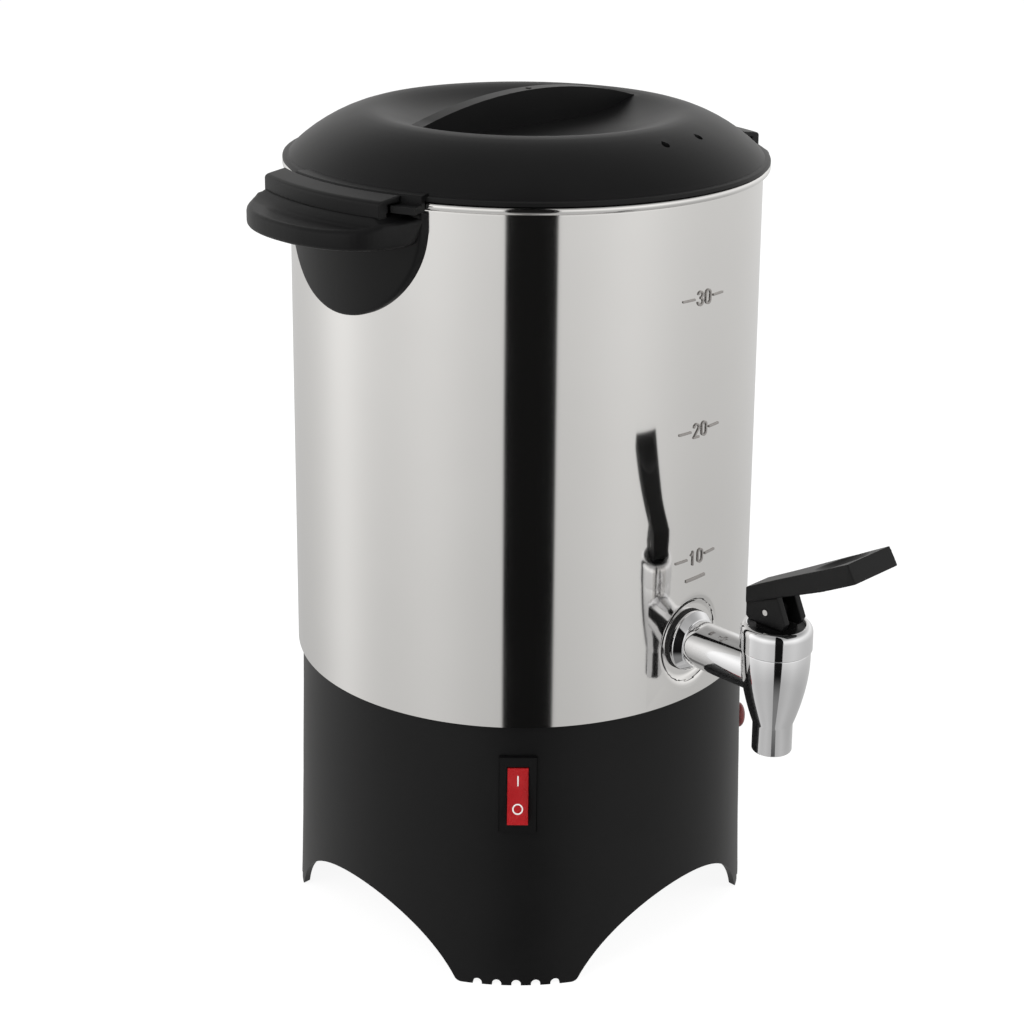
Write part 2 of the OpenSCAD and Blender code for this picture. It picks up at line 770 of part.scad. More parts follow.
// Where the lever is only as wide as its cheeks
module cheek_zone() { polygon([[125, 150], [165, 150], [148.9, 178.7], [131, 171], [125, 168.4]]); }

// Hollow between the lever's cheeks, over the head of the stem
module fork_side() {
    polygon([[135, 159], [159.6, 159], [159.6, 182.9], [138.2, 173.3], [135, 172.4]]);
}

module lever_plan() {
    half = paddle_w / 2;
    polygon([[-7.1, -130], [-7.1, -133.4], [-7.6, -148.6], [-11.5, -172.6], [-half, -187],
        [-half, -195], [half, -195], [half, -187], [11.5, -172.6], [7.6, -148.6],
        [7.1, -133.4], [7.1, -130]]);
}

// Extrudes a side view by half to each side of the plane
module out_plane(half) {
    rotate([90, 0, -90]) translate([0, 0, -half]) linear_extrude(2 * half) children();
}

module tap_lever() {
    color(black) difference() {
        union() {
            intersection() {
                out_plane(20) difference() {
                    lever_side();
                    cheek_zone();
                }
                translate([0, 0, 150]) linear_extrude(70) lever_plan();
            }
            out_plane(cheek_half) lever_side();
        }
        out_plane(cheek_half - cheek_t) fork_side();
        translate([-10, -pin_out, pin_z]) rotate([0, 90, 0])
            cylinder(h = 20, r = pin_r + bore_gap, $fn = 48);
        // dish for the thumb
        translate([0, -166.1, 216.1]) sphere(r = 21.5);
    }
}

// ---------------------------------------------------------------- percolator

tube_r = 5;

module stem_tube() {
    color(steel) {
        ring(tube_r, tube_r - 0.8, 134, 304);
        ring(8, tube_r - 0.5, 222, 224);
    }
}

// Bell that stands in the heating well and lifts the boiling water into the tube
module stem_foot() {
    color(steel) difference() {
        rotate_extrude() polygon([[tube_r + bore_gap, 142], [tube_r + 1, 142], [tube_r + 1, 135],
            [25, 126], [26, 124], [26, well_z + 0.05], [25, well_z + 0.05], [25, 123.6],
            [24.4, 125], [tube_r - 0.6, 132.8], [tube_r - 0.6, 133.9], [tube_r + bore_gap, 133.9]]);
        for (a = [0 : 60 : 300]) rotate([0, 0, a])
            block([22, -3, well_z - 1], [30, 3, well_z + 1.6]);
    }
}

basket_r = 56;
basket_low = 224.1;
basket_top = 284;

module basket() {
    color(steel) difference() {
        union() {
            rotate_extrude() polygon([
                [tube_r + 0.6, basket_low], [basket_r - 2, basket_low], [basket_r, basket_low + 2],
                [basket_r, basket_top - 1.5], [basket_r + 2.5, basket_top - 1.5],
                [basket_r + 2.5, basket_top], [basket_r - 0.8, basket_top],
                [basket_r - 0.8, basket_low + 2.6], [basket_r - 2.4, basket_low + 0.8],
                [tube_r + 1.4, basket_low + 0.8], [tube_r + 1.4, basket_top - 6],
                [tube_r + 0.6, basket_top - 6]]);
        }
        for (row = [0 : 3], i = [0 : 5 + 6 * row])
            rotate([0, 0, i * 360 / (6 + 6 * row)]) translate([14 + 11 * row, 0, 0])
                disc(1.3, basket_low - 2, basket_low + 2);
    }
}

module basket_cover() {
    low = basket_top + 0.1;
    color(steel) difference() {
        rotate_extrude() polygon([
            [tube_r + 0.6, low + 5], [26, low + 5], [30, low + 1], [basket_r - 4, low + 1],
            [basket_r - 2, low], [basket_r + 2.5, low], [basket_r + 2.5, low + 0.8],
            [basket_r - 1.6, low + 0.8], [basket_r - 3.6, low + 1.8], [30.3, low + 1.8],
            [26.3, low + 5.8], [tube_r + 0.6, low + 5.8]]);
        for (row = [0 : 1], i = [0 : 17]) rotate([0, 0, i * 20]) translate([36 + 9 * row, 0, 0])
            disc(1.3, low - 2, low + 4);
    }
}

// ---------------------------------------------------------------- lid

module lid_profile(low_drop) {
    polygon(concat([[0, lid_z(0) - low_drop]],
        [for (r = [12 : 4 : 96]) [r, lid_z(r) - low_drop]],
        [for (d = [3, 1.6, 0.7, 0.2]) [dome_r - d, lid_z(dome_r - d) - low_drop]],
        [[dome_r, shoulder_z + 0.1 - low_drop], [lid_r - 0.8, shoulder_z - low_drop],
         [lid_r - 0.2, shoulder_z - 0.3 - low_drop], [lid_r, shoulder_z - 0.9 - low_drop],
         [lid_r, lid_low - 2 * low_drop], [0, lid_low - 2 * low_drop]]));
}

module lug_side() {
    polygon([[100, lid_low], [103.4, lid_low], [103.4, 328], [105.8, 328], [106.4, 328.6],
        [106.4, 334.3], [105.8, 334.9], [100, 334.9]]);
}

// One lug: a block beside the hook with a tongue just past the hook's open end
module lid_lug() {
    rotate([0, 0, -14]) rotate_extrude(angle = 37.9, $fn = 180) lug_side();
    intersection() {
        rotate([0, 0, 15]) rotate_extrude(angle = 8.9, $fn = 180)
            translate([103.5, 328.7]) square([8.5, 2.7]);
        block([60, hook_half + 0.5, 320], [130, 80, 340]);
    }
}

module lid_cover() {
    bar_half = crest_r - 5;
    rise = bar_top_z - crest_z + 1.2;
    arc_r = (bar_half * bar_half + rise * rise) / (2 * rise);
    color(black) difference() {
        union() {
            difference() {
                rotate_extrude($fn = 180) lid_profile(0);
                rotate_extrude($fn = 180) intersection() {
                    lid_profile(lid_wall);
                    square([lid_r - lid_wall - 0.2, 400]);
                }
                disc(lid_r - lid_wall - 0.2, 0, lid_low + 1);
            }
            // grip bar across the bowl
            difference() {
                rotate([90, 0, 0]) translate([0, 0, -bar_t / 2]) linear_extrude(bar_t)
                    intersection() {
                        translate([0, bar_top_z - arc_r]) circle(r = arc_r, $fn = 360);
                        translate([-bar_half - 4, bowl_z - 2]) square([2 * bar_half + 8, 60]);
                    }
                rotate_extrude() lid_profile(1);
            }
            disc(1.2, bar_top_z - 2, bar_top_z + 0.3);
            disc(5, 322, bowl_z - 1);
            for (side = [0, 180]) rotate([0, 0, side]) lid_lug();
        }
        disc(2 + bore_gap, 320, 336);
        // steam holes
        for (az = [-2, 14]) rotate([0, 0, az]) translate([0, -81, 335]) {
            cylinder(h = 30, r = 1.7, $fn = 32);
            rotate([0, 0, 45]) cube([1.7, 1.7, 30]);
        }
    }
}

module liner_screw() {
    color(steel) {
        disc(5, 318.2, 320.9);
        disc(2, 320, 334);
    }
}

module lid_liner() {
    color(steel) difference() {
        rotate_extrude() polygon([
            [0, 321], [93, 321], [94, 322], [94, 331.2], [98.7, 331.2], [98.7, 332],
            [93.2, 332], [93.2, 322.3], [92.7, 321.8], [0, 321.8]]);
        disc(2.3, 300, 340);
        for (a = [0, 180]) rotate([0, 0, a]) translate([0, 80, 0]) disc(3, 300, 340);
    }
}

module lid_seal() {
    color(silicone) rotate_extrude() polygon([
        [94.05, 323.5], [96, 323.5], [98.9, 325], [98.9, 325.8], [97, 326.2], [97, 327.6],
        [98.9, 328.6], [98.9, 329.4], [96, 330.6], [94.05, 330.6]]);
}

// ---------------------------------------------------------------- all nodes

tank_wall();
level_marks();
tank_floor();
floor_studs();
stud_nuts();
base_shell();
bottom_cover();
cover_screws();
heater_plate();
heating_element();
boil_thermostat();
warm_thermostat();
thermal_fuse();
terminal_block();
live_wire();
neutral_wire();
earth_wire();
lamp_wires();
inlet_housing();
inlet_pins();
switch_housing();
switch_terminals();
switch_rocker();
lamp_lens();
lamp_nut();
handle_left();
handle_right();
lid_hook_left();
lid_hook_right();
handle_screws();
handle_washers();
tap_body();
tap_shank();
tap_flange();
tap_seal_outer();
tap_seal_inner();
tap_nut();
tap_collar();
tap_bonnet();
valve_stem();
valve_cup();
valve_spring();
lever_pin();
tap_lever();
stem_tube();
stem_foot();
basket();
basket_cover();
lid_cover();
liner_screw();
lid_liner();
lid_seal();
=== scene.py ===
"""Looks of the coffee urn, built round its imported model.

Metres, in the model's own frame: the drum stands on Z, the tap points to -Y, the handles lie along X.
"""

import json
import math

import bmesh
import bpy
from mathutils import Matrix, Vector


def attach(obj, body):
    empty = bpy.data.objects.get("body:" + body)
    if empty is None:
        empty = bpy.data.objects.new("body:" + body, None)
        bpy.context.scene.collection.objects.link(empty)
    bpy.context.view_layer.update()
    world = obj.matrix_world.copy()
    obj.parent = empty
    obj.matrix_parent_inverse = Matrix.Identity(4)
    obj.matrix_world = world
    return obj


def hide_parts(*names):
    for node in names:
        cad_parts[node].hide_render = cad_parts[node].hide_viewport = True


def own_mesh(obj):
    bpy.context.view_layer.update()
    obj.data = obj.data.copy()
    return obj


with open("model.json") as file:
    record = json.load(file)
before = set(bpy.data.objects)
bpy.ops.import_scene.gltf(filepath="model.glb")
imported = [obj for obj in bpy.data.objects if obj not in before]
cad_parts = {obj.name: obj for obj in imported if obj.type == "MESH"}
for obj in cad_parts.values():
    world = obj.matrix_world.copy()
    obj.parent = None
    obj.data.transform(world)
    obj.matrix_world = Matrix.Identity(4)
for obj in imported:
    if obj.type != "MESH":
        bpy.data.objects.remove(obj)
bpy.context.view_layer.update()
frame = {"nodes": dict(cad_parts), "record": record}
NODES = frame["nodes"]
BODY_OF = {node: body for body, nodes in frame["record"]["behaviour"]["bodies"].items() for node in nodes}
SLOT_OF = {part["node"]: part["material_slot"] for part in frame["record"]["subparts"]}

MM = 0.001
TURN = math.tau

# The model's main sizes, in millimetres.
DRUM_R = 100
SHEET = 0.8
JOINT_Z = 117
RIM_Z = 332
BEAD_R = 1.7
TAP_Z = 142.2
SPOUT_OUT = 144.2
MOUTH_Z = 110.1
MOUTH_R = 8.1
SHANK_R = 9.6
SWITCH_AZ = math.radians(-45)
SWITCH_Z = 86.8


# ---------------------------------------------------------------- shader maths


class Wire:
    """A number that changes over a surface, with the arithmetic to combine it."""

    def __init__(self, finish, socket):
        self.finish = finish
        self.socket = socket

    def output(self, key):
        """Another output of the same node."""
        return Wire(self.finish, self.socket.node.outputs[key])

    def maths(self, operation, *values):
        return self.finish.add("ShaderNodeMath", {"operation": operation}, values)

    def __add__(self, other):
        return self.maths("ADD", self, other)

    __radd__ = __add__

    def __sub__(self, other):
        return self.maths("SUBTRACT", self, other)

    def __rsub__(self, other):
        return self.maths("SUBTRACT", other, self)

    def __mul__(self, other):
        return self.maths("MULTIPLY", self, other)

    __rmul__ = __mul__

    def __truediv__(self, other):
        return self.maths("DIVIDE", self, other)

    def __rtruediv__(self, other):
        return self.maths("DIVIDE", other, self)

    def __abs__(self):
        return self.maths("ABSOLUTE", self)


class Finish:
    """A node tree that is built up by calls."""

    def __init__(self, owner):
        owner.use_nodes = True
        self.owner = owner
        self.tree = owner.node_tree
        self.tree.nodes.clear()

    def add(self, kind, settings=None, inputs=(), output=0):
        """Adds a node: its settings first, then the values or links of its sockets by place or name."""
        node = self.tree.nodes.new(kind)
        for name, value in (settings or {}).items():
            setattr(node, name, value)
        pairs = inputs.items() if isinstance(inputs, dict) else enumerate(inputs)
        for key, value in pairs:
            self.feed(node.inputs[key], value)
        return Wire(self, node.outputs[output]) if len(node.outputs) else node

    def feed(self, socket, value):
        if isinstance(value, Wire):
            self.tree.links.new(value.socket, socket)
        else:
            socket.default_value = value

    def end(self, shader, kind="ShaderNodeOutputMaterial"):
        self.add(kind, inputs={"Surface": shader})
        return self.owner

    def place(self):
        """The point on the surface, in metres."""
        return self.add("ShaderNodeTexCoord", output="Object")

    def noise(self, where, scale, detail=2.0):
        return self.add("ShaderNodeTexNoise", inputs={"Vector": where, "Scale": scale, "Detail": detail})

    def stretched(self, where, scale):
        """The same pattern, with its scale changed along each axis."""
        return self.add("ShaderNodeMapping", inputs={"Vector": where, "Scale": scale})

    def bump(self, height, strength, distance):
        sockets = {"Height": height, "Strength": strength, "Distance": distance}
        return self.add("ShaderNodeBump", inputs=sockets)

    def blend(self, factor, a, b):
        """Colour a where factor is 0, b where it is 1."""
        return self.add("ShaderNodeMix", {"data_type": "RGBA"}, {0: factor, 6: a, 7: b}, output=2)

    def ramp(self, value, low, high, at_low, at_high):
        """A smooth change from one level to another while a value goes from low to high."""
        sockets = {"Value": value, "From Min": low, "From Max": high, "To Min": at_low, "To Max": at_high}
        return self.add("ShaderNodeMapRange", {"interpolation_type": "SMOOTHSTEP"}, sockets)

    def rays(self):
        """Whether a ray comes from the camera, and whether it is a mirrored one."""
        path = self.add("ShaderNodeLightPath")
        return path.output("Is Camera Ray"), path.output("Is Glossy Ray")


def colour(red, green, blue):
    return (red, green, blue, 1.0)


def surface(name, **sockets):
    """Starts a material, with the first values of its sockets; a socket's name has _ for its spaces."""
    finish = Finish(bpy.data.materials.new(name))
    values = {key.replace("_", " "): value for key, value in sockets.items()}
    return finish, values


def close(finish, values):
    """Ends a material with a principled shader of these values."""
    return finish.end(finish.add("ShaderNodeBsdfPrincipled", inputs=values))


def polished_steel():
    """Mirror-polished sheet, with the faint waves that the rollers leave in it."""
    finish, values = surface("polished_steel", Metallic=1.0)
    where = finish.place()
    waves = finish.noise(finish.stretched(where, (9, 9, 5)), 1.0, 1.0)
    haze = finish.noise(where, 26.0, 3.0)
    grain = finish.noise(finish.stretched(where, (900, 900, 30)), 1.0, 2.0)
    values["Base Color"] = finish.blend(haze, colour(0.80, 0.79, 0.775), colour(0.84, 0.83, 0.815))
    values["Roughness"] = 0.045 + 0.03 * haze + 0.02 * grain
    values["Normal"] = finish.bump(waves, 0.12, 0.002)
    return close(finish, values)


def drawn_steel():
    """Plain bright sheet of the inner parts, with fine drawing lines."""
    finish, values = surface("drawn_steel", Metallic=1.0)
    where = finish.place()
    lines = finish.noise(finish.stretched(where, (700, 700, 60)), 1.0, 3.0)
    stains = finish.noise(where, 40.0, 3.0)
    values["Base Color"] = finish.blend(stains, colour(0.66, 0.65, 0.63), colour(0.74, 0.73, 0.71))
    values["Roughness"] = 0.22 + 0.12 * lines
    values["Normal"] = finish.bump(lines, 0.08, 0.0003)
    return close(finish, values)


def bright_chrome():
    """Chrome plate over a cast and buffed body."""
    finish, values = surface("bright_chrome", Metallic=1.0)
    where = finish.place()
    buffing = finish.noise(where, 70.0, 2.0)
    values["Base Color"] = finish.blend(buffing, colour(0.80, 0.80, 0.81), colour(0.87, 0.87, 0.88))
    values["Roughness"] = 0.04 + 0.03 * buffing
    values["Normal"] = finish.bump(buffing, 0.05, 0.0008)
    return close(finish, values)


def black_plastic():
    """Moulded black plastic with a fine spark-eroded grain."""
    finish, values = surface("black_plastic", Specular_IOR_Level=0.2)
    where = finish.place()
    grain = finish.noise(where, 2600.0, 2.0)
    wear = finish.noise(where, 35.0, 3.0)
    dark, light = colour(0.0034, 0.0034, 0.0036), colour(0.0056, 0.0056, 0.0058)
    values["Base Color"] = finish.blend(wear, dark, light)
    values["Roughness"] = 0.34 + 0.07 * wear + 0.04 * grain
    values["Normal"] = finish.bump(grain, 0.10, 0.0001)
    return close(finish, values)


def red_plastic(name, dark, light):
    """Clear red plastic of the rocker and of the unlit lamp."""
    finish, values = surface(name, Specular_IOR_Level=0.4)
    where = finish.place()
    cloud = finish.noise(where, 180.0, 2.0)
    values["Base Color"] = finish.blend(cloud, dark, light)
    values["Roughness"] = 0.22 + 0.1 * cloud
    return close(finish, values)


def soft_rubber(name, dark, light):
    """Moulded seal: dull, with a slight powdery bloom."""
    finish, values = surface(name, Specular_IOR_Level=0.35)
    where = finish.place()
    bloom = finish.noise(where, 600.0, 3.0)
    values["Base Color"] = finish.blend(bloom, dark, light)
    values["Roughness"] = 0.55 + 0.2 * bloom
    values["Normal"] = finish.bump(bloom, 0.1, 0.0002)
    return close(finish, values)


def plain_metal(name, dark, light, rough):
    """A small metal part, lightly tarnished."""
    finish, values = surface(name, Metallic=1.0)
    where = finish.place()
    tarnish = finish.noise(where, 220.0, 3.0)
    values["Base Color"] = finish.blend(tarnish, dark, light)
    values["Roughness"] = rough + 0.15 * tarnish
    return close(finish, values)


def dull_solid(name, dark, light, rough=0.6):
    """A small part of ceramic, sleeved wire or printed ink."""
    finish, values = surface(name)
    where = finish.place()
    mottle = finish.noise(where, 300.0, 3.0)
    values["Base Color"] = finish.blend(mottle, dark, light)
    values["Roughness"] = rough + 0.15 * mottle
    values["Normal"] = finish.bump(mottle, 0.15, 0.0002)
    return close(finish, values)


FINISHES = {
    "polished_steel": polished_steel(),
    "steel": drawn_steel(),
    "chrome": bright_chrome(),
    "black_plastic": black_plastic(),
    "red_plastic": red_plastic("red_plastic", colour(0.32, 0.006, 0.009), colour(0.42, 0.011, 0.014)),
    "silicone": soft_rubber("silicone", colour(0.62, 0.60, 0.55), colour(0.74, 0.72, 0.67)),
    "black_rubber": soft_rubber("black_rubber", colour(0.012, 0.012, 0.012), colour(0.03, 0.03, 0.03)),
    "brass": plain_metal("brass", colour(0.60, 0.45, 0.20), colour(0.78, 0.62, 0.33), 0.25),
    "ceramic": dull_solid("ceramic", colour(0.70, 0.66, 0.57), colour(0.82, 0.79, 0.71)),
    "aluminium": plain_metal("aluminium", colour(0.60, 0.61, 0.62), colour(0.74, 0.75, 0.76), 0.35),
    "heater_sheath": plain_metal("heater_sheath", colour(0.16, 0.13, 0.12), colour(0.38, 0.31, 0.27), 0.4),
    "brown_wire": dull_solid("brown_wire", colour(0.13, 0.05, 0.02), colour(0.19, 0.08, 0.04), 0.45),
    "blue_wire": dull_solid("blue_wire", colour(0.01, 0.05, 0.30), colour(0.03, 0.09, 0.42), 0.45),
    "green_wire": dull_solid("green_wire", colour(0.06, 0.26, 0.02), colour(0.12, 0.38, 0.04), 0.45),
    "white_wire": dull_solid("white_wire", colour(0.66, 0.66, 0.63), colour(0.78, 0.78, 0.76), 0.5),
    "white_print": dull_solid("white_print", colour(0.74, 0.74, 0.72), colour(0.84, 0.84, 0.82), 0.4),
}


# ---------------------------------------------------------------- shapes


# Corners of more than this many degrees stay sharp.
CREASE = 32


def shade(bm, crease=CREASE):
    """Smooth over gentle bends, sharp over corners."""
    for face in bm.faces:
        face.smooth = True
    for edge in bm.edges:
        edge.smooth = len(edge.link_faces) != 2 or edge.calc_face_angle(0) < math.radians(crease)


def piece(name, bm, body, slot, *replaced, finish=None):
    """Makes an object of a shape in millimetres, puts it on its body and gives it its finish."""
    bmesh.ops.scale(bm, vec=(MM, MM, MM), verts=bm.verts)
    shade(bm)
    mesh = bpy.data.meshes.new(name)
    bm.to_mesh(mesh)
    bm.free()
    mesh.materials.append(finish or FINISHES[slot])
    made = bpy.data.objects.new(name, mesh)
    bpy.context.scene.collection.objects.link(made)
    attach(made, body)
    if replaced:
        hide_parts(*replaced)
    return made


def turned(outline, steps):
    """Spins a closed outline of (radius, height) points round Z."""
    bm = bmesh.new()
    corners = [bm.verts.new((radius, 0, height)) for radius, height in outline]
    edges = [bm.edges.new(pair) for pair in zip(corners, corners[1:] + corners[:1])]
    bmesh.ops.spin(
        bm, geom=corners + edges, cent=(0, 0, 0), axis=(0, 0, 1), angle=TURN, steps=steps, use_merge=True
    )
    bmesh.ops.remove_doubles(bm, verts=bm.verts, dist=1e-4)
    bmesh.ops.recalc_face_normals(bm, faces=bm.faces)
    return bm


def on_wall(az, z, out=0.0):
    """Local Z away from the drum's axis, local Y up, at azimuth az from the tap."""
    return (
        Matrix.Translation((0, 0, z))
        @ Matrix.Rotation(az, 4, "Z")
        @ Matrix.Rotation(math.radians(90), 4, "X")
        @ Matrix.Translation((0, 0, out))
    )


def moved(bm, matrix):
    bmesh.ops.transform(bm, matrix=matrix, verts=bm.verts)
    return bm


def arc(centre, radius, start, end, count):
    """Points on an arc of an outline, angles in degrees."""
    angles = [math.radians(start + (end - start) * i / count) for i in range(count + 1)]
    return [(centre[0] + radius * math.cos(a), centre[1] + radius * math.sin(a)) for a in angles]


def spaced(low, high, gap):
    count = max(1, round((high - low) / gap))
    return [low + (high - low) * i / count for i in range(count + 1)]


# ---------------------------------------------------------------- drum

BEAD_OUT = 1.35
BEAD_START_Z = 327.6
DRUM_STEPS = 600

# The round flat for the tap's seal: its radius, where its slope ends, its distance from the drum's axis,
# how far its slope rises, how steep the slope goes on past the wall, and how softly it meets the wall.
DISH_FLAT_R = 15.2
DISH_R = 20.2
DISH_FLAT = 97.8
DISH_RISE = 2.6
DISH_STEEP = 3
DISH_SOFT = 0.8
# The hole for the tap, and half the square of wall that is rebuilt round it.
HOLE_R = 8.3
PATCH_HALF = 24.0


def pressed(x, z, radius):
    """A point of the wall at this radius, pressed in where the round flat for the tap's seal lies."""
    reach = (math.hypot(x, z - TAP_Z) - DISH_FLAT_R) / (DISH_R - DISH_FLAT_R)
    ramp = max(0.0, min(reach, 1.0))
    wall = math.sqrt(radius * radius - x * x)
    flat = DISH_FLAT - (DRUM_R - radius) + DISH_RISE * ramp * ramp * (3 - 2 * ramp)
    flat += DISH_STEEP * max(0.0, reach - 1)
    overlap = max(0.0, 1 - abs(wall - flat) / DISH_SOFT)
    return Vector((x, -min(wall, flat) + overlap * overlap * DISH_SOFT / 4, z))


def ring_patch(bm, radius):
    """Swaps the wall's square grid round the tap for rings of faces, so that the dish's edge is round."""

    def near_tap(point, half):
        on_skin = abs(math.hypot(point.x, point.y) - radius) < 0.15 and point.y < 0
        return on_skin and abs(point.x) < half and abs(point.z - TAP_Z) < half

    doomed = [face for face in bm.faces if near_tap(face.calc_center_median(), PATCH_HALF)]
    bmesh.ops.delete(bm, geom=doomed, context="FACES")
    loose = {vert for edge in bm.edges if len(edge.link_faces) == 1 for vert in edge.verts}
    border = [vert for vert in loose if near_tap(vert.co, PATCH_HALF + 2)]
    border.sort(key=lambda vert: math.atan2(vert.co.x, vert.co.z - TAP_Z))
    # close rings over the slope of the flat
    reaches = [HOLE_R, 12, 14.6, *spaced(15, 21.3, 0.35), 22.5]
    rings = [border]
    for reach in reversed(reaches):
        ring = []
        for vert in border:
            x, z = vert.co.x, vert.co.z - TAP_Z
            grow = reach / math.hypot(x, z)
            ring.append(bm.verts.new(pressed(x * grow, TAP_Z + z * grow, radius)))
        rings.append(ring)
    for outer, inner in zip(rings, rings[1:]):
        join_rings(bm, outer, inner)
    return rings[-1]


def join_rings(bm, one, other):
    """Faces between two closed rows of corners."""
    for i in range(len(one)):
        bm.faces.new((one[i - 1], one[i], other[i], other[i - 1]))


def make_drum():
    """The polished wall with its rolled rim, and the round flat pressed in behind the tap."""
    inner_r = DRUM_R - SHEET
    # fine rows beside the tap, coarse ones above it
    heights = [JOINT_Z, *spaced(118, 167, 0.98), *spaced(172, 322, 15)]
    outer = [(DRUM_R, z) for z in heights] + [(DRUM_R, BEAD_START_Z)]
    roll = arc((DRUM_R + BEAD_OUT, RIM_Z - BEAD_R), BEAD_R, 218, -180, 22)
    inner = [(inner_r, RIM_Z - 1.4)] + [(inner_r, z) for z in reversed(heights)]
    bm = turned(outer + roll + inner, steps=DRUM_STEPS)
    join_rings(bm, ring_patch(bm, DRUM_R), ring_patch(bm, inner_r))
    bmesh.ops.recalc_face_normals(bm, faces=bm.faces)
    piece("drum", bm, "urn", "polished_steel", "tank_wall")


# ---------------------------------------------------------------- tap

# The cast body's outline, in radius and height.
BODY_R = 14
BODY_TOP = 157.9
NECK_R = 12.0
BELLY_TOP = 150.1
BELLY_DROP = 28.4
BELLY_BEND = 1.78
SPOUT_BORE_R = 5.8
SPOUT_BORE_TOP = 127
# The quarter oval round the collar's top.
CREST_CENTRE = (12.1, 161.4)
CREST_SIZE = (2.5, 3.4)
# The shank and its flange, in radius and distance from the drum's axis.
THREAD_R = 7.9
THREAD_DEPTH = 0.55
THREAD_START = 79
SHANK_BORE_R = 5.5
SHANK_START = 103.85
SHANK_END = 139.5
CHAMBER_R = 11
FLANGE_FRONT = 103.8
FLANGE_BACK = 99.05


def tap_body_outline():
    """The cast body: straight under the collar, curving in to the spout, with a bore in the spout."""
    belly = [
        (BODY_R - (BODY_R - MOUTH_R) * t**BELLY_BEND, BELLY_TOP - BELLY_DROP * t)
        for t in spaced(0, 1, 0.04)
    ]
    lip = arc((MOUTH_R - 0.5, MOUTH_Z + 0.5), 0.5, 0, -90, 4)
    lip += arc((SPOUT_BORE_R + 0.4, MOUTH_Z + 0.4), 0.4, -90, -180, 3)
    shoulder = arc((BODY_R - 0.5, 153.6), 0.5, 90, 0, 4)
    neck = [(0, BODY_TOP), (NECK_R, BODY_TOP), (NECK_R, 154.1)]
    return [*neck, *shoulder, *belly, *lip, (SPOUT_BORE_R, SPOUT_BORE_TOP), (0, SPOUT_BORE_TOP)]


def collar_outline():
    """The screw collar: straight, with a tall round crest."""
    crest = [
        (CREST_CENTRE[0] + CREST_SIZE[0] * x, CREST_CENTRE[1] + CREST_SIZE[1] * z)
        for x, z in arc((0, 0), 1, 0, 90, 12)
    ]
    inside = [(11.75, 164.6), (11.6, 164.2), (11.6, 161.5), (12.15, 161.5)]
    return [(12.15, 154.2), (14.3, 154.2), (14.6, 154.5), *crest, *inside]


def shank_outline():
    """The tube through the wall, threaded inside the drum."""
    ridges = [(THREAD_R - THREAD_DEPTH * (i % 2), THREAD_START + 0.4 + 0.75 * i) for i in range(26)]
    back = [(SHANK_BORE_R, THREAD_START), (7.2, THREAD_START), *ridges, (THREAD_R, SHANK_START)]
    return [*back, (SHANK_R, SHANK_START), (SHANK_R, SHANK_END), (SHANK_BORE_R, SHANK_END)]


def flange_outline():
    """The flange in front of the seal: a short rim, then a cone."""
    rim = [*arc((12.3, 99.35), 0.3, -90, 0, 3), *arc((12.1, 100.55), 0.5, 0, 45, 4)]
    cone = [(10.3, 103.4), (10.05, 103.65), (9.8, FLANGE_FRONT), (THREAD_R + 0.05, FLANGE_FRONT)]
    return [(THREAD_R + 0.05, FLANGE_BACK), *rim, *cone]


def make_tap():
    """The four turned parts of the tap that show most."""
    spout = Matrix.Translation((0, -SPOUT_OUT, 0))
    shank = on_wall(0, TAP_Z)
    piece("tap_casting", moved(turned(tap_body_outline(), 160), spout), "urn", "chrome", "tap_body")
    piece("screw_collar", moved(turned(collar_outline(), 160), spout), "urn", "chrome", "tap_collar")
    pipe = moved(turned(shank_outline(), 128), shank)
    for vert in pipe.verts:
        if vert.co.y < -SHANK_END + 0.5:
            # the end follows the round wall of the valve's chamber
            vert.co.y = math.sqrt(CHAMBER_R**2 - vert.co.x**2) - SPOUT_OUT
    piece("tap_pipe", pipe, "urn", "chrome", "tap_shank")
    piece("clamp_flange", moved(turned(flange_outline(), 160), shank), "urn", "chrome", "tap_flange")


# ---------------------------------------------------------------- handles

PLATE_HALF = 40.6
PLATE_LOW = 281.2
PLATE_OUT = 103.4
LEDGE_Z = 325.6
GRIP_Z = 315.2
GRIP_TOP = 323.0
GRIP_MID = 103
GRIP_REACH = 132.5
GRIP_HALF = 40.7
GRIP_POWER = 2.2
GRIP_TAIL = 20
GRIP_BACK = 90
GRIP_SOFT_LOW = 2.2
GRIP_SOFT_HIGH = 2.0
# The hollow under the grip: where it starts, the wall left round it, and its depth.
HOLLOW_START = 113
HOLLOW_WALL = 1.7
HOLLOW_DEPTH = 5
# How far the grip's upper side rises at a distance from the drum's axis: a hollow curve up to the hook.
GRIP_RISE = [(116.9, 4.3), (117.7, 4.1), (118.6, 2.8), (120.3, 1.7), (123, 0.8), (129, 0.1), (140, 0)]
HOOK_HALF = 35.2
# The plate's inner face, its top behind the grip, and how far in the grip reaches.
PLATE_IN = DRUM_R + 0.1
PLATE_TOP = LEDGE_Z + 2
GRIP_IN = DRUM_R + 1
# Where the faces are divided so that they can bend: away from the drum, and across.
CUTS_OUT = [*spaced(92, 110, 1.5), *spaced(111, 122, 0.6), *spaced(123, 131, 1.4)]
CUTS_ACROSS = spaced(-38, 38, 2)


def cut_across(bm, axis, places):
    """Divides every face along planes across an axis."""
    normal = Vector((0, 0, 0))
    normal[axis] = 1
    for place in places:
        bmesh.ops.bisect_plane(
            bm, geom=bm.verts[:] + bm.edges[:] + bm.faces[:], plane_co=normal * place, plane_no=normal
        )


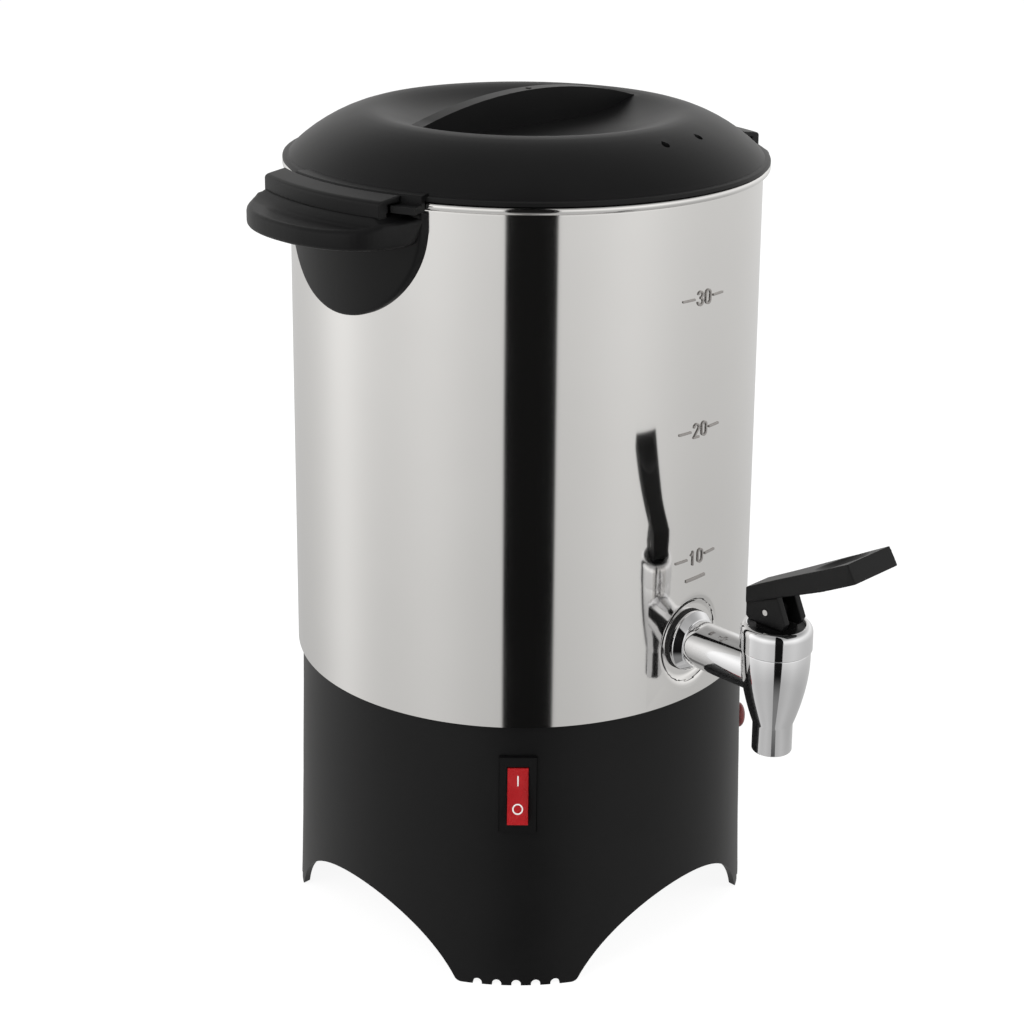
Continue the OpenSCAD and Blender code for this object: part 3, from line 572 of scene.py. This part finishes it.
def raise_faces(bm, faces, height):
    """Extrudes faces upwards."""
    grown = bmesh.ops.extrude_face_region(bm, geom=faces)["geom"]
    corners = [item for item in grown if isinstance(item, bmesh.types.BMVert)]
    bmesh.ops.translate(bm, vec=(0, 0, height), verts=corners)


def round_edges(bm, edges, size, segments):
    """Rounds edges off with a strip of this width and number of faces."""
    bmesh.ops.bevel(
        bm, geom=edges, offset=size, segments=segments, profile=0.5, affect="EDGES", material=-1
    )


def slab(outline, thickness, soft_low, soft_high, segments):
    """A plate of this (x, y) outline standing on z = 0, with its lower and upper edge rounded."""
    bm = bmesh.new()
    base = bm.faces.new([bm.verts.new((x, y, 0)) for x, y in outline])
    raise_faces(bm, [base], thickness)
    for height, size in ((thickness, soft_high), (0, soft_low)):
        rim = [edge for edge in bm.edges if all(abs(vert.co.z - height) < 1e-4 for vert in edge.verts)]
        if size:
            round_edges(bm, rim, size, segments)
    bmesh.ops.recalc_face_normals(bm, faces=bm.faces)
    return bm


def rise_at(radius):
    """The rise of the grip's upper side at a distance from the drum's axis."""
    if radius <= GRIP_RISE[0][0]:
        return GRIP_RISE[0][1]
    for (low, a), (high, b) in zip(GRIP_RISE, GRIP_RISE[1:]):
        if radius <= high:
            return a + (b - a) * (radius - low) / (high - low)
    return 0.0


def grip_outline():
    """Half a rounded rectangle in front, straight sides behind."""
    power = 2 / GRIP_POWER
    front = GRIP_REACH - GRIP_MID
    bend = [math.radians(a) for a in spaced(-90, 90, 4)[1:-1]]
    lobe = [
        (GRIP_MID + front * math.cos(a) ** power, math.copysign(GRIP_HALF * abs(math.sin(a)) ** power, a))
        for a in bend
    ]
    behind = [(GRIP_MID, GRIP_HALF), (GRIP_BACK, GRIP_HALF), (GRIP_BACK, -GRIP_HALF)]
    return [(GRIP_MID, -GRIP_HALF), *lobe, *behind]


def make_grip():
    """The flat grip: rounded round its edge, hollow below for the finger tips, rising to the hook."""
    bm = slab(grip_outline(), GRIP_TOP - GRIP_Z, GRIP_SOFT_LOW, GRIP_SOFT_HIGH, segments=4)
    cut_across(bm, 0, [HOLLOW_START])
    under = [f for f in bm.faces if f.normal.z < -0.99 and f.calc_center_median().x > HOLLOW_START]
    bmesh.ops.inset_region(bm, faces=under, thickness=HOLLOW_WALL, use_even_offset=True)
    raise_faces(bm, under, HOLLOW_DEPTH)
    bmesh.ops.delete(bm, geom=[f for f in under if f.is_valid], context="FACES_ONLY")
    cut_across(bm, 0, CUTS_OUT)
    cut_across(bm, 1, CUTS_ACROSS)
    for vert in bm.verts:
        x, y, z = vert.co
        if z > GRIP_TOP - GRIP_Z - GRIP_SOFT_HIGH - 0.01:
            rise = rise_at(math.hypot(x, y))
            past_hook = min(1.0, max(0.0, abs(y) - HOOK_HALF + 1) / 3)
            vert.co.z += rise * (1 - past_hook) + min(LEDGE_Z - GRIP_TOP, rise) * past_hook
        if x < GRIP_MID:
            # the lower part draws in towards the drum
            depth = min(0.97, (GRIP_MID - x) / (GRIP_TAIL + 8 * max(0.0, z - 2)))
            vert.co.y = y * (1 - depth**GRIP_POWER) ** (1 / GRIP_POWER)
        if math.hypot(x, vert.co.y) < GRIP_IN:
            # its back is round and lies inside the plate
            vert.co.x = math.sqrt(GRIP_IN**2 - vert.co.y**2)
    bmesh.ops.remove_doubles(bm, verts=bm.verts, dist=1e-3)
    bmesh.ops.translate(bm, vec=(0, 0, GRIP_Z), verts=bm.verts)
    return bm


def make_plate():
    """The curved plate against the drum, a half round below, with a chamfer round its border."""
    outline = arc((0, PLATE_LOW + PLATE_HALF), PLATE_HALF, 180, 360, 60)
    outline += [(PLATE_HALF, PLATE_TOP), (-PLATE_HALF, PLATE_TOP)]
    bm = slab(outline, PLATE_OUT - PLATE_IN, 0, 1.5, segments=3)
    # stand it up: thickness away from the drum, outline across and up
    moved(bm, Matrix(((0, 0, 1, PLATE_IN), (1, 0, 0, 0), (0, 1, 0, 0), (0, 0, 0, 1))))
    cut_across(bm, 1, CUTS_ACROSS)
    for vert in bm.verts:
        vert.co.x = math.sqrt(vert.co.x**2 - vert.co.y**2)
    return bm


def make_handles():
    """Grip and plate of each handle, as one piece."""
    for name, angle in (("right", 0), ("left", math.pi)):
        bm = make_grip()
        plate = make_plate()
        loose = bpy.data.meshes.new("plate")
        plate.to_mesh(loose)
        plate.free()
        bm.from_mesh(loose)
        bpy.data.meshes.remove(loose)
        bmesh.ops.recalc_face_normals(bm, faces=bm.faces)
        moved(bm, Matrix.Rotation(angle, 4, "Z"))
        piece("grip_" + name, bm, "urn", "black_plastic", "handle_" + name)


# ---------------------------------------------------------------- smooth copies of the model's own solids


def smooth_copy(node, rounding=0.0, finish=None, crease=CREASE):
    """A merged copy of a solid, smooth over its gentle bends, with its corners rounded off."""
    bm = bmesh.new()
    bm.from_mesh(NODES[node].data)
    bmesh.ops.remove_doubles(bm, verts=bm.verts, dist=2e-6)
    if rounding:
        flat = math.radians(0.6)
        bmesh.ops.dissolve_limit(
            bm, angle_limit=flat, verts=bm.verts, edges=bm.edges, use_dissolve_boundaries=False
        )
    shade(bm, crease)
    mesh = bpy.data.meshes.new(node + "_skin")
    bm.to_mesh(mesh)
    bm.free()
    mesh.materials.append(finish or FINISHES[SLOT_OF[node]])
    made = bpy.data.objects.new(node + "_skin", mesh)
    bpy.context.scene.collection.objects.link(made)
    if rounding:
        bevel = made.modifiers.new("rounding", "BEVEL")
        bevel.width = rounding * MM
        bevel.segments = 2
        bevel.limit_method = "ANGLE"
        bevel.angle_limit = math.radians(crease)
        bevel.harden_normals = True
    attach(made, BODY_OF[node])
    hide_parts(node)
    return made


def worn_copy(node, grid, passes, finish=None):
    """A copy of a solid rebuilt on a fine grid and relaxed, so that all its edges come out round."""
    made = smooth_copy(node, crease=180, finish=finish)
    remesh = made.modifiers.new("grid", "REMESH")
    remesh.mode = "VOXEL"
    remesh.voxel_size = grid * MM
    remesh.use_smooth_shade = True
    relax = made.modifiers.new("relax", "SMOOTH")
    relax.factor = 0.5
    relax.iterations = passes
    return made


# Corner rounding of the switch's solids, in millimetres.
ROUNDED = {"switch_housing": 0.3, "switch_rocker": 0.25}
# Grid size in millimetres and number of relaxing passes of the solids with soft edges.
WORN = {"tap_lever": (0.3, 9), "lid_hook_left": (0.3, 6), "lid_hook_right": (0.3, 6)}
# Solids that are only smoothed over their gentle bends.
SMOOTHED = [
    "base_shell", "bottom_cover", "cover_screws", "lid_cover", "lid_liner", "lid_seal", "liner_screw",
    "tap_bonnet", "tap_seal_outer", "tap_seal_inner", "tap_nut", "inlet_housing", "inlet_pins",
    "valve_stem", "lever_pin", "stem_tube", "stem_foot", "basket", "basket_cover", "tank_floor",
    "handle_screws", "handle_washers",
]


def make_skins():
    """Copies of the solids that show, and finishes for those that keep their own shape."""
    for node, rounding in ROUNDED.items():
        smooth_copy(node, rounding)
    for node, (grid, passes) in WORN.items():
        worn_copy(node, grid, passes)
    # the level marks' steel is darker than the wall's: painted shade standing in for the shading round
    # their relief
    shaded_mark_steel = plain_metal("painted_shade_mark_steel", colour(0.42, 0.40, 0.385), colour(0.48, 0.46, 0.445), 0.10)
    worn_copy("level_marks", 0.09, 2, shaded_mark_steel)
    for node in SMOOTHED:
        smooth_copy(node)
    # the spring closes up under the bonnet as the valve rises
    spring = smooth_copy("valve_spring", crease=80)
    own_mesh(spring)
    unlit = red_plastic("unlit_red", colour(0.10, 0.010, 0.010), colour(0.15, 0.016, 0.016))
    smooth_copy("lamp_lens", finish=unlit)
    for name, node in NODES.items():
        if not node.hide_render:
            node.data.materials.clear()
            node.data.materials.append(FINISHES[SLOT_OF[name]])


# ---------------------------------------------------------------- switch marks

# The rocker's pivot is this far from the drum's axis; its face dips towards the middle.
ROCKER_PIVOT = 98.2
ROCKER_TILT = math.radians(-10)
ROCKER_HALF = 11.7
ROCKER_FACE = 2.4
ROCKER_DIP = 1.4
FACE_LEAN = math.atan2(ROCKER_DIP, ROCKER_HALF)
# Middles of the off ring and the on bar along the face.
RING_Y = -5.4
BAR_Y = 6.3


def on_rocker(y):
    """On the rocker's face, y millimetres above its middle line."""
    lean = FACE_LEAN if y > 0 else -FACE_LEAN
    return (
        on_wall(SWITCH_AZ, SWITCH_Z, ROCKER_PIVOT)
        @ Matrix.Rotation(ROCKER_TILT, 4, "X")
        @ Matrix.Translation((0, y, ROCKER_FACE + ROCKER_DIP * abs(y) / ROCKER_HALF))
        @ Matrix.Rotation(lean, 4, "X")
    )


def make_switch_marks():
    """A printed ring and bar on the two halves of the rocker."""
    ink = FINISHES["white_print"]
    ring = turned([(1.65, -0.05), (2.2, -0.05), (2.2, 0.06), (2.1, 0.09), (1.75, 0.09), (1.65, 0.06)], 48)
    piece("mark_off", moved(ring, on_rocker(RING_Y)), "switch_rocker", "red_plastic", finish=ink)
    bar = bmesh.new()
    bmesh.ops.create_cube(bar, size=1)
    bmesh.ops.scale(bar, vec=(0.55, 4.4, 0.14), verts=bar.verts)
    round_edges(bar, bar.edges, 0.05, 2)
    piece("mark_on", moved(bar, on_rocker(BAR_Y)), "switch_rocker", "red_plastic", finish=ink)


# ---------------------------------------------------------------- studio

CAMERA_OUT = 0.82918
CAMERA_UP = 0.49547
CAMERA_AZIMUTH = math.radians(-44.14)
CAMERA_YAW = 0.0386
CAMERA_PITCH = 0.2422
CAMERA_ROLL = 0.0190
FOCAL_PIXELS = 1986.0
CENTRE_PIXEL = (601.3, 250.0)
IMAGE_PIXELS = 1024


def make_camera():
    """A camera with a sliding front: its film stays closer to upright than its line of sight."""
    across = (IMAGE_PIXELS / 2 - CENTRE_PIXEL[0]) / FOCAL_PIXELS
    upwards = (CENTRE_PIXEL[1] - IMAGE_PIXELS / 2) / FOCAL_PIXELS
    stretch = math.sqrt(1 + across**2 + upwards**2)
    data = bpy.data.cameras.new("camera")
    data.sensor_width = 36
    data.lens = FOCAL_PIXELS * stretch / IMAGE_PIXELS * data.sensor_width
    data.clip_start = 0.05
    data.clip_end = 100
    camera = bpy.data.objects.new("camera", data)
    tripod = bpy.data.objects.new("tripod", None)
    for made in (camera, tripod):
        bpy.context.scene.collection.objects.link(made)
    tripod.matrix_world = (
        Matrix.Rotation(CAMERA_AZIMUTH, 4, "Z")
        @ Matrix.Translation((0, -CAMERA_OUT, CAMERA_UP))
        @ Matrix.Rotation(-CAMERA_YAW, 4, "Z")
        @ Matrix.Rotation(math.radians(90) - CAMERA_PITCH, 4, "X")
        @ Matrix.Rotation(CAMERA_ROLL, 4, "Z")
    )
    camera.parent = tripod
    camera.matrix_parent_inverse = Matrix(
        ((1, 0, -across, 0), (0, 1, -upwards, 0), (0, 0, 1, 0), (0, 0, 0, 1))
    )
    bpy.context.scene.camera = camera


# What the lamps are aimed at, in metres.
URN_MIDDLE = Vector((0, 0, 0.2))
# The studio's light: its level everywhere, and the azimuth, half width and strength of each soft panel.
ROOM_LEVEL = 0.54
PANELS = [(-100, 20, 0.30), (-45, 26, 0.17), (52, 28, 0.17), (150, 40, 0.08)]
# The dark gap between the panels, as azimuth and half width.
GAP_AT = 2.4
GAP_HALF = 12.4
# The even light that dull surfaces get.
FILL_LEVEL = 0.55
# The table's own glow, and its share of what the camera sees.
TABLE_GLOW = 1.12
TABLE_GLOW_SHARE = 0.82


def studio_level(finish):
    """Brightness of the studio in a direction: soft panels round the urn and a dark gap between them."""
    direction = finish.add("ShaderNodeTexCoord", output="Generated")
    turned_to = finish.add(
        "ShaderNodeVectorRotate",
        {"rotation_type": "Z_AXIS"},
        {"Vector": direction, "Angle": -CAMERA_AZIMUTH},
    )
    split = finish.add("ShaderNodeSeparateXYZ", inputs=(turned_to,))
    across, along, up = (split.output(i) for i in range(3))
    azimuth = across.maths("ARCTAN2", across, 0 - along)

    level = ROOM_LEVEL
    for at, half_width, strength in PANELS:
        offset = (azimuth - math.radians(at)) / math.radians(half_width)
        level = level + strength * (1 / (1 + offset * offset))
    height = finish.add("ShaderNodeClamp", inputs={"Value": up, "Min": -0.6, "Max": 0.3})
    overhead = finish.ramp(up, 0.12, 0.85, 1.0, 0.36)
    from_gap = abs(azimuth - math.radians(GAP_AT)) / math.radians(GAP_HALF)
    past_gap = finish.ramp(from_gap, 0.94, 1.04, 0.012, 1.0)
    # far below the horizon the light table closes the gap
    table = finish.ramp(up, -0.8, -0.5, 0.45, 0.0)
    return level * (1.33 + height) * overhead * (past_gap + (1 - past_gap) * table)


def make_world():
    """White to the camera, soft panels to mirrored rays, even light to dull surfaces."""
    world = bpy.data.worlds.new("studio")
    bpy.context.scene.world = world
    finish = Finish(world)
    seen, glossy = finish.rays()
    level = studio_level(finish)
    strength = seen + (1 - seen) * (glossy * level + (1 - glossy) * FILL_LEVEL)
    warm_white = colour(1, 0.995, 0.985)
    shader = finish.add("ShaderNodeBackground", inputs={"Color": warm_white, "Strength": strength})
    finish.end(shader, "ShaderNodeOutputWorld")


def make_lamp(name, at, size, power):
    """An area light that mirrored rays pass through."""
    data = bpy.data.lights.new(name, "AREA")
    data.shape = "RECTANGLE"
    data.size, data.size_y = size
    data.energy = power
    lamp = bpy.data.objects.new(name, data)
    bpy.context.scene.collection.objects.link(lamp)
    aim = URN_MIDDLE - Vector(at)
    lamp.matrix_world = Matrix.Translation(at) @ aim.to_track_quat("-Z", "Y").to_matrix().to_4x4()
    lamp.visible_glossy = False


def make_floor():
    """A white table that mirrored rays pass through."""
    bm = bmesh.new()
    bmesh.ops.create_grid(bm, x_segments=1, y_segments=1, size=12)
    mesh = bpy.data.meshes.new("floor")
    bm.to_mesh(mesh)
    bm.free()
    finish = Finish(bpy.data.materials.new("white_floor"))
    seen, glossy = finish.rays()
    paint = finish.add("ShaderNodeBsdfDiffuse", inputs={"Color": colour(0.9, 0.9, 0.9)})
    glow = finish.add("ShaderNodeEmission", inputs={"Color": colour(1, 1, 1), "Strength": TABLE_GLOW})
    clear = finish.add("ShaderNodeBsdfTransparent")
    lit = finish.add("ShaderNodeMixShader", inputs=(seen * TABLE_GLOW_SHARE, paint, glow))
    mesh.materials.append(finish.end(finish.add("ShaderNodeMixShader", inputs=(glossy, lit, clear))))
    floor = bpy.data.objects.new("floor", mesh)
    bpy.context.scene.collection.objects.link(floor)


make_camera()
make_drum()
make_tap()
make_handles()
make_switch_marks()
make_skins()
make_world()
make_lamp("key", (-1.5, -0.3, 1.6), (1.2, 1.2), 22)
make_lamp("fill", (0.9, -1.5, 1.0), (1.0, 1.4), 14)
make_lamp("back", (1.0, 1.2, 1.5), (1.2, 1.0), 12)
make_floor()
bpy.context.scene.view_settings.view_transform = "Standard"
